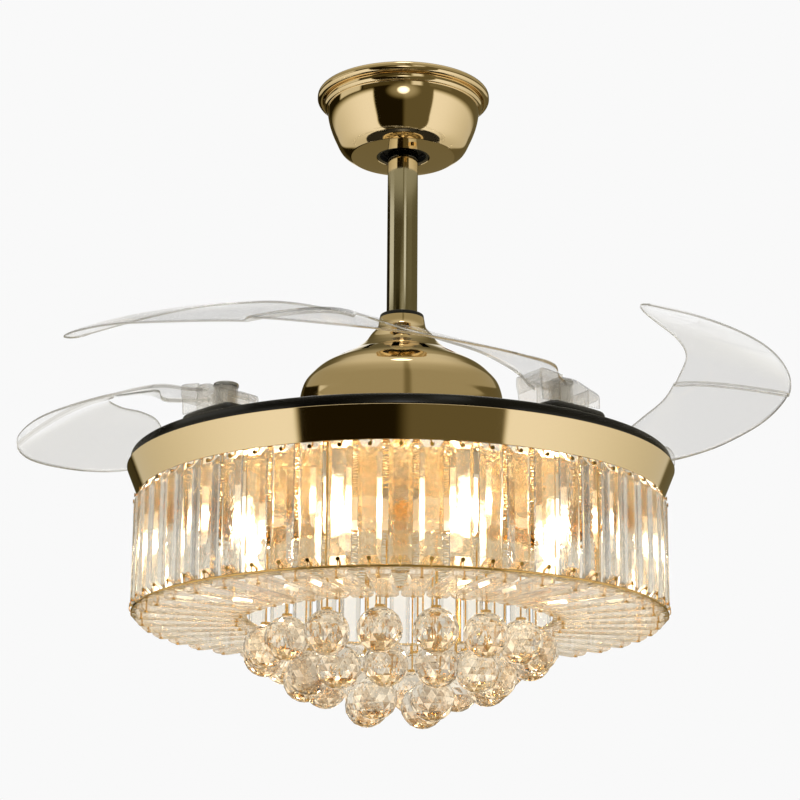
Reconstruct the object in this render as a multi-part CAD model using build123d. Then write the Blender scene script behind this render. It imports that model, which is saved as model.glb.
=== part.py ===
from build123d import *
import math
import os

os.makedirs("parts", exist_ok=True)

# General fits and overruns
running_gap = 0.05
seat_gap = 0.2
union_tolerance = 0.001
cut_overrun = 5.0
sheet = 1.2
screw_radius = 2.0
screw_head_radius = 4.0
screw_head_height = 2.2

# Height of the blade disc's underside plane below the ceiling
ceiling_to_disc = 376.0

# Ceiling bracket and ball seat
bracket_plate_radius = 68.0
bracket_plate_thickness = 2.5
bracket_hole_spacing = 112.0
bracket_hole_radius = 2.6
bracket_leg_offset = 40.0
bracket_leg_width = 30.0
bracket_leg_thickness = 2.5
bracket_floor_radius = 46.0
bracket_floor_thickness = 4.0
bracket_floor_hole_radius = 22.0
ball_seat_radius = 36.0
ball_seat_top_drop = 46.0

# Hanger ball, its pin and the downrod
ball_radius = 27.0
ball_centre_drop = 40.0
ball_flat_height = 18.0
ball_pin_radius = 3.0
ball_pin_length = 44.0
rod_radius = 14.4
rod_wall = 2.0
rod_foot_height = 118.0
collar_radius = 21.0
collar_thickness = 4.0

# Canopy at the ceiling
canopy_rim_radius = 82.3
canopy_rim_height = 9.0
canopy_rim_round = 3.0
canopy_step_radius = 76.0
canopy_step_height = 7.0
canopy_bowl_radius = 72.5
canopy_mid_radius = 64.4
canopy_mid_drop = 47.0
canopy_shoulder_radius = 58.0
canopy_shoulder_drop = 59.0
canopy_flat_radius = 49.1
canopy_depth = 64.3
canopy_hole_radius = 25.0
canopy_screw_circle = 34.0
canopy_screw_count = 2
canopy_screw_first_angle = -75.0

# Remote receiver above the hanger ball
receiver_length = 96.0
receiver_width = 46.0
receiver_height = 12.0

# Coupling and bell-shaped motor cover
coupling_radius = 19.5
coupling_top_height = 149.7
coupling_foot_height = 96.0
coupling_bolt_height = 134.0
coupling_bolt_radius = 3.0
cover_top_height = 150.0
cover_throat_radius = 28.6
cover_throat_height = 134.0
cover_neck_radius = 39.5
cover_neck_height = 121.4
cover_crease_radius = 50.5
cover_crease_height = 113.6
cover_ridge_radius = 78.2
cover_ridge_height = 97.6
cover_side_radius = 93.6
cover_side_height = 76.0
cover_foot_flare = 2.9
cover_foot_height = 14.0
cover_vent_count = 15
cover_vent_first_angle = 1.0
cover_vent_circle = 62.0
cover_vent_length = 15.0
cover_vent_width = 6.4

# Motor shaft, stator and bearings
shaft_radius = 9.0
shaft_bore_radius = 6.0
shaft_top_height = 116.0
shaft_foot_depth = 26.0
stator_low_height = 32.0
stator_stack = 26.0
stator_hub_radius = 30.0
stator_tooth_width = 9.0
stator_shoe_depth = 6.0
stator_shoe_angle = 24.0
stator_tooth_count = 12
winding_thickness = 3.5
bearing_radius = 20.0
bearing_race = 2.5
bearing_width = 9.0
bearing_ball_count = 9
bearing_low_height = 16.5
bearing_high_height = 64.0

# Rotor shells and magnets
rotor_wall = 3.0
rotor_split_height = 43.0
rotor_top_height = 76.0
rotor_hub_wall = 4.0
rotor_eye_radius = 12.0
rotor_flange_width = 4.0
rotor_cover_clearance = 3.6
rotor_flange_thickness = 3.0
rotor_screw_count = 6
magnet_thickness = 10.0
magnet_height = 30.0
magnet_count = 16
magnet_air_gap = 6.95

# Blade disc
disc_radius = 247.0
disc_top_height = 10.8
disc_plate = 2.5
disc_rim_wall = 2.5
disc_rim_clearance = 1.2
disc_eye_radius = 14.0
disc_screw_circle = 45.0
disc_screw_count = 8

# Blade pivots
blade_count = 4
pivot_inset = 42.4
first_pivot_angle = -48.0
pivot_base_span = 68.0
pivot_base_inward = 20.6
pivot_base_outward = 26.4
pivot_base_thickness = 11.0
pivot_base_round = 9.0
pivot_floor_thickness = 2.0
pivot_pocket_radius = 13.0
pivot_pin_radius = 5.0
pivot_bush_wall = 3.0
pivot_head_radius = 11.0
pivot_head_height = 3.0
spring_outer_radius = 12.0
spring_inner_radius = 9.5
stop_radius = 4.0
stop_top_height = 31.0
stop_reach_share = 0.85

# Blades
blade_thickness = 2.8
blade_rise = 100.0
blade_reach = 190.6
blade_root_far_span = 26.0
blade_root_foot_span = 33.0
blade_root_throat_span = 34.5
blade_root_near_span = 30.0
blade_root_nose_span = 36.0
blade_root_far_height = 11.5
blade_root_hub_height = 22.0
blade_root_near_height = 27.0
blade_root_throat_height = 13.0
blade_root_nose_drop = 9.0
blade_root_inward = 15.6
blade_root_outward = 21.4
blade_root_round = 5.0
blade_root_wall = 2.4
blade_root_rib = 1.8
blade_root_rib_share = 0.5
blade_closing_angle = -34.0
blade_opening_angle = 50.0
blade_rest_angles = (-9.9, -5.9, -5.9, 1.0)
blade_outer_angles = (8.0, 17.6, 27.2, 36.8, 46.4, 56.0, 65.6, 73.9, 80.3, 85.6, 89.6)
blade_outer_reach_shares = (0.233, 0.404, 0.533, 0.653, 0.775, 0.898, 0.989, 1.029, 1.017, 0.964, 0.840)
blade_outer_height_shares = (0.440, 0.410, 0.410, 0.430, 0.447, 0.483, 0.514, 0.566, 0.612, 0.670, 0.762)
blade_inner_angles = (14.0, 21.8, 31.1, 41.0, 50.1, 58.0, 66.0, 73.0, 79.1, 84.7, 88.8)
blade_inner_reach_shares = (0.134, 0.131, 0.180, 0.277, 0.359, 0.434, 0.461, 0.462, 0.502, 0.610, 0.770)
blade_inner_height_shares = (0.400, 0.560, 0.640, 0.720, 0.840, 0.903, 0.941, 0.981, 0.985, 0.930, 0.820)
blade_heel_span_shares = (0.4, 0.8)
blade_heel_inward_share = 0.49
blade_heel_height_share = 0.62

# Light pan and trim band
pan_depth = 13.0
pan_thickness = 1.5
pan_lip_height = 7.0
band_overhang = 3.0
band_taper = 10.4
band_height = 26.3
band_wall = 1.4
band_bead_radius = 1.0
shaft_nut_radius = 16.0
shaft_nut_height = 7.0

# Lamps
lamp_count = 8
lamp_circle = 150.0
lamp_first_angle = 22.5
holder_radius = 11.0
holder_height = 22.0
bulb_radius = 8.5
bulb_length = 52.0
driver_length = 110.0
driver_width = 44.0
driver_height = 22.0
driver_offset = 48.0

# Drum of upright glass bars
bar_width = 20.0
bar_thickness = 6.5
bar_length = 104.0
bar_bevel = 2.4
bar_end_bevel = 5.0
bar_hole_radius = 1.1
bar_hole_inset = 4.5
drum_count = 60
drum_inset = 3.6
drum_top_depth = 27.6
ring_outward = 4.2
ring_inward = 10.0
ring_thickness = 1.6
lower_ring_gap = 0.8
post_count = 6
post_inset = 6.0
post_first_angle = 15.0
post_radius = 2.0
link_radius = 0.8
link_head_radius = 1.8
link_head_height = 0.9

# Spokes of glass bars under the drum
spoke_count = 42
spoke_outward = 1.0
spoke_length = 94.0
spoke_thickness = 6.0
spoke_drop = 0.6
inner_ring_overlap = 7.0
inner_ring_width = 12.0
strap_count = 6
strap_width = 7.0
strap_thickness = 1.5

# Plate, hangers and faceted glass balls
plate_radius = 130.0
plate_depth = 80.0
plate_thickness = 1.5
stem_radius = 8.0
plate_nut_radius = 11.0
plate_nut_height = 9.0
crystal_radius = 20.0
crystal_sides = 12
crystal_latitude_angles = (-67.5, -45.0, -22.5, 0.0, 22.5, 45.0, 67.5)
hanger_radius = 0.8
hanger_cap_radius = 4.5
hanger_cap_height = 3.0
outer_row_count = 16
outer_row_circle = 123.0
outer_row_drop = 32.1
outer_row_first_angle = 14.5
middle_row_count = 12
middle_row_circle = 86.0
middle_row_drop = 55.6
middle_row_first_angle = 22.0
lower_row_count = 4
lower_row_circle = 36.0
lower_row_drop = 76.6
lower_row_first_angle = 54.0

base_align = (Align.CENTER, Align.CENTER, Align.MIN)
disc_plane = -ceiling_to_disc
pivot_radius = disc_radius - pivot_inset
cover_foot_radius = cover_side_radius + cover_foot_flare
rotor_flange_radius = cover_side_radius - rotor_cover_clearance
rotor_radius = rotor_flange_radius - rotor_flange_width
magnet_inner_radius = rotor_radius - rotor_wall - running_gap - magnet_thickness
stator_radius = magnet_inner_radius - magnet_air_gap
lower_ring_depth = drum_top_depth + bar_length + lower_ring_gap
band_top_radius = disc_radius + band_overhang
band_foot_radius = band_top_radius - band_taper
drum_inner_radius = band_foot_radius - drum_inset
ring_outer_radius = drum_inner_radius + ring_outward
ring_inner_radius = drum_inner_radius - ring_inward
post_circle = drum_inner_radius - post_inset
spoke_outer_radius = drum_inner_radius + spoke_outward
spoke_inner_hole_circle = spoke_outer_radius - spoke_length + bar_hole_inset
spoke_outer_hole_circle = spoke_outer_radius - bar_hole_inset
inner_ring_outer_radius = spoke_outer_radius - spoke_length + inner_ring_overlap
inner_ring_inner_radius = inner_ring_outer_radius - inner_ring_width
ball_rows = {
    "outer": (outer_row_count, outer_row_circle, lower_ring_depth + outer_row_drop, outer_row_first_angle),
    "middle": (middle_row_count, middle_row_circle, lower_ring_depth + middle_row_drop, middle_row_first_angle),
    "lower": (lower_row_count, lower_row_circle, lower_ring_depth + lower_row_drop, lower_row_first_angle),
}


def cylinder(radius, low, high, x=0, y=0):
    return Pos(x, y, low) * Cylinder(radius, high - low, align=base_align)


def tube(outer, inner, low, high, x=0, y=0):
    return cylinder(outer, low, high, x, y) - cylinder(inner, low, high, x, y)


def cone_tube(low_radius, high_radius, wall, low, high):
    outer = Pos(0, 0, low) * Cone(low_radius, high_radius, high - low, align=base_align)
    inner = Pos(0, 0, low) * Cone(low_radius - wall, high_radius - wall, high - low, align=base_align)
    return outer - inner


def turned(edges):
    return revolve(Plane.XZ * make_face(edges), Axis.Z)


def around(shape, count, first=0):
    return [Rot(0, 0, first + 360 * i / count) * shape for i in range(count)]


def polar(radius, azimuth, height=0):
    angle = math.radians(azimuth)
    return Vector(radius * math.cos(angle), radius * math.sin(angle), height)


def group(shapes):
    solids = []
    for shape in shapes:
        solids.extend(shape.solids())
    return Compound(solids)


def save(name, shape):
    export_step(shape, "parts/" + name + ".step")


# Ceiling parts
def hanger_bracket():
    plate_low = -bracket_plate_thickness
    floor_high = -(canopy_depth - sheet - running_gap - bracket_floor_thickness)
    floor_low = floor_high - bracket_floor_thickness
    plate = cylinder(bracket_plate_radius, plate_low, 0)
    for side in (-1, 1):
        plate -= cylinder(bracket_hole_radius, plate_low, 0, 0, side * bracket_hole_spacing / 2)
        middle = (plate_low + floor_high) / 2
        leg = Box(bracket_leg_thickness, bracket_leg_width, plate_low - floor_high)
        plate += Pos(side * bracket_leg_offset, 0, middle) * leg
    floor = tube(bracket_floor_radius, bracket_floor_hole_radius, floor_low, floor_high)
    for hole in around(cylinder(screw_radius + running_gap, floor_low, floor_high, canopy_screw_circle),
                       canopy_screw_count, canopy_screw_first_angle):
        floor -= hole
    return plate + floor


def ball_seat():
    low = -(canopy_depth - sheet - running_gap - bracket_floor_thickness)
    ring = cylinder(ball_seat_radius, low, -ball_seat_top_drop)
    for hole in around(cylinder(screw_radius + running_gap, low, low + bracket_floor_thickness,
                                canopy_screw_circle), canopy_screw_count, canopy_screw_first_angle):
        ring -= hole
    return ring - Pos(0, 0, -ball_centre_drop) * Sphere(ball_radius + running_gap)


def canopy_rim():
    ring = tube(canopy_rim_radius, canopy_step_radius + running_gap, -canopy_rim_height, 0)
    edges = ring.edges().filter_by(GeomType.CIRCLE).filter_by(lambda e: e.radius > canopy_step_radius + 1)
    return fillet(edges, canopy_rim_round)


def canopy_outline(inset):
    step_low = -(canopy_rim_height + canopy_step_height)
    start = (canopy_bowl_radius - inset, step_low + inset)
    middle = (canopy_mid_radius - inset, -canopy_mid_drop)
    shoulder = (canopy_shoulder_radius - inset, -canopy_shoulder_drop)
    foot = (canopy_flat_radius - inset, -canopy_depth + inset)
    side = Spline(start, middle, shoulder, foot, tangents=((0, -1), (-5, -4)))
    step = (canopy_step_radius - inset, step_low + inset)
    return [(canopy_step_radius - inset, 0), step, start], side, foot


def canopy():
    outer_points, outer_side, outer_foot = canopy_outline(0)
    inner_points, inner_side, inner_foot = canopy_outline(sheet)
    hole_low = (canopy_hole_radius, -canopy_depth)
    hole_high = (canopy_hole_radius, -canopy_depth + sheet)
    shell = turned([Polyline(*outer_points), outer_side, Polyline(outer_foot, hole_low, hole_high, inner_foot),
                    inner_side, Polyline(*inner_points[::-1], outer_points[0])])
    for hole in around(cylinder(screw_radius + running_gap, -canopy_depth - sheet, -canopy_depth + 2 * sheet,
                                canopy_screw_circle), canopy_screw_count, canopy_screw_first_angle):
        shell -= hole
    return shell


def canopy_screws():
    low = -canopy_depth
    length = sheet + bracket_floor_thickness
    head = cylinder(screw_head_radius, low - screw_head_height, low, canopy_screw_circle)
    screw = head + cylinder(screw_radius, low, low + length, canopy_screw_circle)
    return group(around(screw, canopy_screw_count, canopy_screw_first_angle))


def receiver_box():
    top = -bracket_plate_thickness
    box = Box(receiver_width, receiver_length, receiver_height)
    box = fillet(box.edges().filter_by(Axis.Z), screw_head_radius)
    return Pos(0, 0, top - receiver_height / 2) * box


# Hanging parts down to the motor cover
def hanger_ball():
    ball = Sphere(ball_radius)
    ball &= Cylinder(ball_radius, 2 * ball_flat_height)
    ball -= Cylinder(rod_radius + running_gap, 2 * ball_flat_height)
    ball -= Rot(90, 0, 0) * Cylinder(ball_pin_radius + running_gap, 2 * ball_radius)
    return Pos(0, 0, -ball_centre_drop) * ball


def ball_pin():
    return Pos(0, 0, -ball_centre_drop) * Rot(90, 0, 0) * Cylinder(ball_pin_radius, ball_pin_length)


def coupling_bolt():
    height = disc_plane + coupling_bolt_height
    return Pos(0, 0, height) * Rot(90, 0, 0) * Cylinder(coupling_bolt_radius, 2 * coupling_radius - seat_gap)


def downrod():
    high = ball_flat_height - ball_centre_drop
    low = disc_plane + rod_foot_height
    rod = tube(rod_radius, rod_radius - rod_wall, low, high)
    rod -= Pos(0, 0, -ball_centre_drop) * Rot(90, 0, 0) * Cylinder(ball_pin_radius + running_gap, 2 * ball_radius)
    bolt_hole = Cylinder(coupling_bolt_radius + running_gap, 2 * coupling_radius)
    return rod - Pos(0, 0, disc_plane + coupling_bolt_height) * Rot(90, 0, 0) * bolt_hole


def rod_collar():
    low = disc_plane + cover_top_height
    ring = tube(collar_radius, rod_radius + running_gap, low, low + collar_thickness)
    return chamfer(ring.edges().filter_by(GeomType.CIRCLE).group_by(Axis.Z)[-1][0:1], collar_thickness / 4)


def rod_coupling():
    low = disc_plane + coupling_foot_height
    high = disc_plane + coupling_top_height
    rod_foot = disc_plane + rod_foot_height
    body = cylinder(coupling_radius, low, high)
    body -= cylinder(rod_radius + running_gap, rod_foot, high)
    body -= cylinder(shaft_radius + running_gap, low, rod_foot)
    bolt_hole = Cylinder(coupling_bolt_radius + running_gap, 2 * coupling_radius)
    return body - Pos(0, 0, disc_plane + coupling_bolt_height) * Rot(90, 0, 0) * bolt_hole


def cover_outline(inset):
    top = (collar_radius - inset, disc_plane + cover_top_height)
    throat = (cover_throat_radius - inset, disc_plane + cover_throat_height - inset / 2)
    neck = (cover_neck_radius - inset, disc_plane + cover_neck_height - inset)
    crease = (cover_crease_radius - inset / 2, disc_plane + cover_crease_height - inset)
    ridge = (cover_ridge_radius - inset / 2, disc_plane + cover_ridge_height - inset)
    side = (cover_side_radius - inset, disc_plane + cover_side_height)
    foot = (cover_foot_radius - inset, disc_plane + cover_foot_height)
    neck_curve = Spline(top, throat, neck, crease, tangents=((1, -4), (2, -1)))
    skirt_curve = Spline(ridge, side, foot, tangents=((1, -1), (0, -1)))
    return neck_curve, Line(crease, ridge), skirt_curve, top, foot


def motor_cover():
    neck_curve, shoulder, skirt_curve, top, foot = cover_outline(0)
    in_neck_curve, in_shoulder, in_skirt_curve, in_top, in_foot = cover_outline(sheet)
    shell = turned([neck_curve, shoulder, skirt_curve, Line(foot, in_foot), in_skirt_curve, in_shoulder,
                    in_neck_curve, Line(in_top, top)])
    middle_height = (cover_crease_height + cover_ridge_height) / 2
    vent = Box(cover_vent_length, cover_vent_width, cover_crease_height - cover_ridge_height + 2 * cut_overrun)
    vent = fillet(vent.edges().filter_by(Axis.Z), cover_vent_width / 4)
    vent = Pos(cover_vent_circle, 0, disc_plane + middle_height) * vent
    for slot in around(vent, cover_vent_count, cover_vent_first_angle):
        shell -= slot
    return shell


# Motor
def motor_shaft():
    return tube(shaft_radius, shaft_bore_radius, disc_plane - shaft_foot_depth, disc_plane + shaft_top_height)


def stator_core():
    low = disc_plane + stator_low_height
    high = low + stator_stack
    core = cylinder(stator_hub_radius, low, high)
    shoe_inner = stator_radius - stator_shoe_depth
    tooth = Pos(stator_radius / 2, 0, low) * Box(stator_radius, stator_tooth_width, stator_stack, align=base_align)
    wedge_reach = 2 * stator_radius
    half = math.radians(stator_shoe_angle / 2)
    wedge = make_face(Polyline((0, 0), (wedge_reach, -wedge_reach * math.tan(half)),
                               (wedge_reach, wedge_reach * math.tan(half)), close=True))
    shoe = tube(stator_radius, shoe_inner, low, high) & (Pos(0, 0, low) * extrude(wedge, stator_stack))
    tooth = (tooth & cylinder(stator_radius, low, high)) + shoe
    for copy in around(tooth, stator_tooth_count):
        core += copy
    return core - cylinder(shaft_radius + running_gap, low, high)


def stator_windings():
    middle = disc_plane + stator_low_height + stator_stack / 2
    inner_end = stator_hub_radius + winding_thickness
    outer_end = stator_radius - stator_shoe_depth - winding_thickness / 2
    length = outer_end - inner_end
    width = stator_tooth_width + 2 * seat_gap
    height = stator_stack + 2 * seat_gap
    coil = Box(length, width + 2 * winding_thickness, height + 2 * winding_thickness)
    coil = fillet(coil.edges().filter_by(Axis.X), winding_thickness / 2)
    coil -= Box(length, width, height)
    coil = Pos((inner_end + outer_end) / 2, 0, middle) * coil
    return group(around(coil, stator_tooth_count))


def bearing_track(low):
    middle = disc_plane + low + bearing_width / 2
    circle = (shaft_radius + bearing_radius) / 2
    ball = (bearing_radius - shaft_radius) / 2 - bearing_race + bearing_race / 3
    return middle, circle, ball


def bearing_inner_rings():
    rings = []
    for low in (bearing_low_height, bearing_high_height):
        middle, circle, ball = bearing_track(low)
        ring = tube(shaft_radius + bearing_race, shaft_radius + running_gap, disc_plane + low,
                    disc_plane + low + bearing_width)
        rings.append(ring - Pos(0, 0, middle) * Torus(circle, ball + running_gap))
    return group(rings)


def bearing_outer_rings():
    rings = []
    for low in (bearing_low_height, bearing_high_height):
        middle, circle, ball = bearing_track(low)
        ring = tube(bearing_radius, bearing_radius - bearing_race, disc_plane + low,
                    disc_plane + low + bearing_width)
        rings.append(ring - Pos(0, 0, middle) * Torus(circle, ball + running_gap))
    return group(rings)


def bearing_balls():
    balls = []
    for low in (bearing_low_height, bearing_high_height):
        middle, circle, ball = bearing_track(low)
        balls.extend(around(Pos(circle, 0, middle) * Sphere(ball), bearing_ball_count))
    return group(balls)


def rotor_screw_holes(low, high):
    circle = (rotor_radius + rotor_flange_radius) / 2
    return around(cylinder(screw_radius / 2 + running_gap, low, high, circle), rotor_screw_count)


def rotor_lower_shell():
    low = disc_plane + disc_top_height
    split = disc_plane + rotor_split_height
    hub_top = disc_plane + bearing_low_height + bearing_width
    shell = cylinder(rotor_radius, low, split)
    shell -= cylinder(rotor_radius - rotor_wall, low + rotor_wall, split)
    shell += cylinder(bearing_radius + rotor_hub_wall, low, hub_top)
    shell -= cylinder(bearing_radius + running_gap, disc_plane + bearing_low_height, hub_top)
    shell -= cylinder(rotor_eye_radius, low, hub_top)
    shell += tube(rotor_flange_radius, rotor_radius, split - rotor_flange_thickness, split)
    for hole in rotor_screw_holes(split - rotor_flange_thickness, split):
        shell -= hole
    for hole in around(cylinder(screw_radius + running_gap, low, low + rotor_wall, disc_screw_circle),
                       disc_screw_count):
        shell -= hole
    return shell


def rotor_upper_shell():
    split = disc_plane + rotor_split_height
    high = disc_plane + rotor_top_height
    hub_low = disc_plane + bearing_high_height
    shell = cylinder(rotor_radius, split, high)
    shell = fillet(shell.edges().filter_by(GeomType.CIRCLE).group_by(Axis.Z)[-1], rotor_wall)
    shell -= cylinder(rotor_radius - rotor_wall, split, high - rotor_wall)
    shell += cylinder(bearing_radius + rotor_hub_wall, hub_low, high)
    shell -= cylinder(bearing_radius + running_gap, hub_low, hub_low + bearing_width)
    shell -= cylinder(rotor_eye_radius, hub_low, high)
    shell += tube(rotor_flange_radius, rotor_radius, split, split + rotor_flange_thickness)
    for hole in rotor_screw_holes(split, split + rotor_flange_thickness):
        shell -= hole
    return shell


def rotor_screws():
    circle = (rotor_radius + rotor_flange_radius) / 2
    low = disc_plane + rotor_split_height - rotor_flange_thickness
    high = low + 2 * rotor_flange_thickness
    screw = cylinder(screw_radius / 2, low, high, circle)
    screw += cylinder(screw_radius, high, high + screw_radius, circle)
    return group(around(screw, rotor_screw_count))


def magnet_ring():
    outer = rotor_radius - rotor_wall - running_gap
    middle = disc_plane + stator_low_height + stator_stack / 2
    low = middle - magnet_height / 2
    ring = tube(outer, magnet_inner_radius, low, low + magnet_height)
    gap = Pos(rotor_radius / 2, 0, middle) * Box(rotor_radius, sheet, magnet_height)
    for slot in around(gap, magnet_count):
        ring -= slot
    return group([ring])


# Blade disc and pivots
def blade_disc():
    high = disc_plane + disc_top_height
    plate = cylinder(disc_radius, disc_plane + disc_rim_clearance, high)
    plate = fillet(plate.edges().filter_by(GeomType.CIRCLE).group_by(Axis.Z)[-1], disc_plate / 2)
    plate -= cylinder(disc_radius - disc_rim_wall, disc_plane, high - disc_plate)
    plate -= cylinder(disc_eye_radius, disc_plane, high)
    for hole in around(cylinder(screw_radius + running_gap, disc_plane, high, disc_screw_circle), disc_screw_count):
        plate -= hole
    return plate


def disc_screws():
    under = disc_plane + disc_top_height - disc_plate
    screw = cylinder(screw_head_radius, under - screw_head_height, under, disc_screw_circle)
    screw += cylinder(screw_radius, under, under + disc_plate + rotor_wall, disc_screw_circle)
    return group(around(screw, disc_screw_count))


def pivot_frame(index):
    return Rot(0, 0, first_pivot_angle + 360 * index / blade_count)


def pivot_bases():
    low = disc_plane + disc_top_height
    middle = pivot_radius + (pivot_base_outward - pivot_base_inward) / 2
    width = pivot_base_outward + pivot_base_inward
    pad = Pos(middle, 0, low) * Box(width, pivot_base_span, pivot_base_thickness, align=base_align)
    pad &= cylinder(pivot_radius + pivot_base_outward, low, low + pivot_base_thickness)
    pad = fillet(pad.edges().filter_by(Axis.Z), pivot_base_round)
    pad = fillet(pad.edges().group_by(Axis.Z)[-1], pivot_base_thickness / 2)
    pad -= cylinder(pivot_pocket_radius, low + pivot_floor_thickness, low + pivot_base_thickness, pivot_radius)
    base = pad - cylinder(pivot_pin_radius + running_gap, low, low + pivot_base_thickness, pivot_radius)
    return group([pivot_frame(i) * base for i in range(blade_count)])


def root_low():
    return disc_plane + disc_top_height + pivot_base_thickness + 2 * seat_gap


def pivot_pins():
    low = disc_plane + disc_top_height
    head_low = root_low() + blade_root_hub_height + seat_gap
    pin = cylinder(pivot_pin_radius, low, head_low, pivot_radius)
    head = cylinder(pivot_head_radius, head_low, head_low + pivot_head_height, pivot_radius)
    head = fillet(head.edges().filter_by(GeomType.CIRCLE).group_by(Axis.Z)[-1], pivot_head_height / 2)
    return group([pivot_frame(i) * (pin + head) for i in range(blade_count)])


def pivot_bushes():
    low = disc_plane + disc_top_height + pivot_floor_thickness
    head_low = root_low() + blade_root_hub_height + seat_gap
    bush = tube(pivot_pin_radius + pivot_bush_wall, pivot_pin_radius + running_gap, low, head_low, pivot_radius)
    return group([pivot_frame(i) * bush for i in range(blade_count)])


def blade_springs():
    low = disc_plane + disc_top_height + pivot_floor_thickness
    coil = tube(spring_outer_radius, spring_inner_radius, low, root_low() - 2 * seat_gap, pivot_radius)
    return group([pivot_frame(i) * coil for i in range(blade_count)])


def blade_stops():
    low = disc_plane + disc_top_height
    high = disc_plane + stop_top_height
    side = -blade_root_inward - stop_radius - 2 * seat_gap
    limits = ((blade_closing_angle, -blade_root_foot_span), (blade_opening_angle, blade_root_far_span))
    stops = []
    for index in range(blade_count):
        for limit, span in limits:
            turn = Rot(0, 0, limit + blade_rest_angles[index])
            post = turn * cylinder(stop_radius, low, high, side, stop_reach_share * span)
            stops.append(pivot_frame(index) * Pos(pivot_radius, 0, 0) * post)
    return group(stops)


# Blades, each swept clockwise from its own pivot
def blade_section(inner, outer):
    rise = Vector(0, 0, blade_thickness / 2)
    return Wire.make_polygon([inner + rise, outer + rise, outer - rise, inner - rise], close=True)


def blade_shape():
    inner = []
    outer = []
    for angle, reach, height in zip(blade_inner_angles, blade_inner_reach_shares, blade_inner_height_shares):
        inner.append(polar(pivot_radius + blade_reach * reach, -angle, disc_plane + blade_rise * height))
    for angle, reach, height in zip(blade_outer_angles, blade_outer_reach_shares, blade_outer_height_shares):
        outer.append(polar(pivot_radius + blade_reach * reach, -angle, disc_plane + blade_rise * height))
    low = root_low()
    heel_height = low + blade_root_near_height * blade_heel_height_share
    heel_inner = Vector(pivot_radius - blade_root_inward * blade_heel_inward_share,
                        -blade_root_near_span * blade_heel_span_shares[1], heel_height)
    heel_outer = Vector(pivot_radius + blade_root_outward, -blade_root_near_span * blade_heel_span_shares[0],
                        heel_height)
    wires = [blade_section(heel_inner, heel_outer)]
    for inner_point, outer_point in zip(inner, outer):
        wires.append(blade_section(inner_point, outer_point))
    panel = Solid.make_loft(wires)
    bore = pivot_pin_radius + pivot_bush_wall + running_gap
    hub = bore + blade_root_wall
    root = root_block(0, low)
    root = fillet(root.edges().filter_by(Axis.Z), blade_root_round)
    pocket = root_block(blade_root_wall, low)
    for side in (-1, 1):
        rib = Box(4 * blade_root_outward, blade_root_rib, 4 * blade_root_near_height)
        pocket -= Pos(pivot_radius, side * blade_root_near_span * blade_root_rib_share, low) * rib
    pocket -= cylinder(hub, low, low + 2 * blade_root_near_height, pivot_radius)
    blade = (root - pocket).fuse(panel, tol=union_tolerance)
    blade += cylinder(hub, low, low + blade_root_hub_height, pivot_radius)
    blade -= cylinder(hub + blade_root_wall, low + blade_root_hub_height, low + 2 * blade_root_near_height,
                      pivot_radius)
    return blade - cylinder(bore, low, low + blade_root_hub_height, pivot_radius)


def root_block(inset, low):
    # upright outline along the root, higher towards the blade, its nose lifted off the base
    far = blade_root_far_span - inset
    foot = -blade_root_foot_span + inset
    throat = -blade_root_throat_span + inset
    near = -blade_root_near_span + inset
    nose = -blade_root_nose_span + inset
    high = low + blade_root_near_height - inset
    outline = Polyline((far, low), (far, low + blade_root_far_height - inset),
                       (0, low + blade_root_hub_height - inset), (near, high), (nose, high),
                       (nose, high - blade_root_nose_drop + 2 * inset),
                       (throat, low + blade_root_throat_height + inset), (foot, low), close=True)
    width = blade_root_outward + blade_root_inward - 2 * inset
    left = pivot_radius - blade_root_inward + inset
    return extrude(Plane(origin=(left, 0, 0), x_dir=(0, 1, 0), z_dir=(1, 0, 0)) * make_face(outline), width)


def placed_blade(shape, index):
    about_pivot = Pos(pivot_radius, 0, 0) * Rot(0, 0, blade_rest_angles[index]) * Pos(-pivot_radius, 0, 0)
    return pivot_frame(index) * about_pivot * shape


# Light kit
def band_radius(depth):
    return band_top_radius - (band_top_radius - band_foot_radius) * depth / band_height


def light_pan():
    high = disc_plane - pan_depth
    pan_radius = band_radius(pan_depth + pan_thickness) - band_wall - seat_gap
    pan = cylinder(pan_radius, high - pan_thickness, high)
    lip_outer = band_radius(pan_depth - pan_lip_height) - band_wall - seat_gap
    lip = Pos(0, 0, high) * Cone(pan_radius, lip_outer, pan_lip_height, align=base_align)
    lip -= Pos(0, 0, high) * Cone(pan_radius - pan_thickness, lip_outer - pan_thickness, pan_lip_height,
                                  align=base_align)
    return pan + lip - cylinder(shaft_radius + running_gap, high - pan_thickness, high)


def shaft_nuts():
    top = disc_plane - pan_depth
    nut = extrude(RegularPolygon(shaft_nut_radius, 6), shaft_nut_height)
    nut -= cylinder(shaft_radius + running_gap, 0, shaft_nut_height)
    return group([Pos(0, 0, top) * nut, Pos(0, 0, top - pan_thickness - shaft_nut_height) * nut])


def trim_band():
    low = disc_plane - band_height
    band = cone_tube(band_foot_radius, band_top_radius, band_wall, low, disc_plane)
    return band + Pos(0, 0, low) * Torus(band_foot_radius - band_wall / 2, band_bead_radius)


def led_driver():
    high = disc_plane - pan_depth - pan_thickness
    box = Box(driver_length, driver_width, driver_height)
    box = fillet(box.edges().filter_by(Axis.Z), screw_head_radius)
    return Pos(0, driver_offset, high - driver_height / 2) * box


def lamp_holders():
    high = disc_plane - pan_depth - pan_thickness
    holder = cylinder(holder_radius, high - holder_height, high, lamp_circle)
    holder = chamfer(holder.edges().filter_by(GeomType.CIRCLE).group_by(Axis.Z)[0], holder_radius / 5)
    return group(around(holder, lamp_count, lamp_first_angle))


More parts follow.
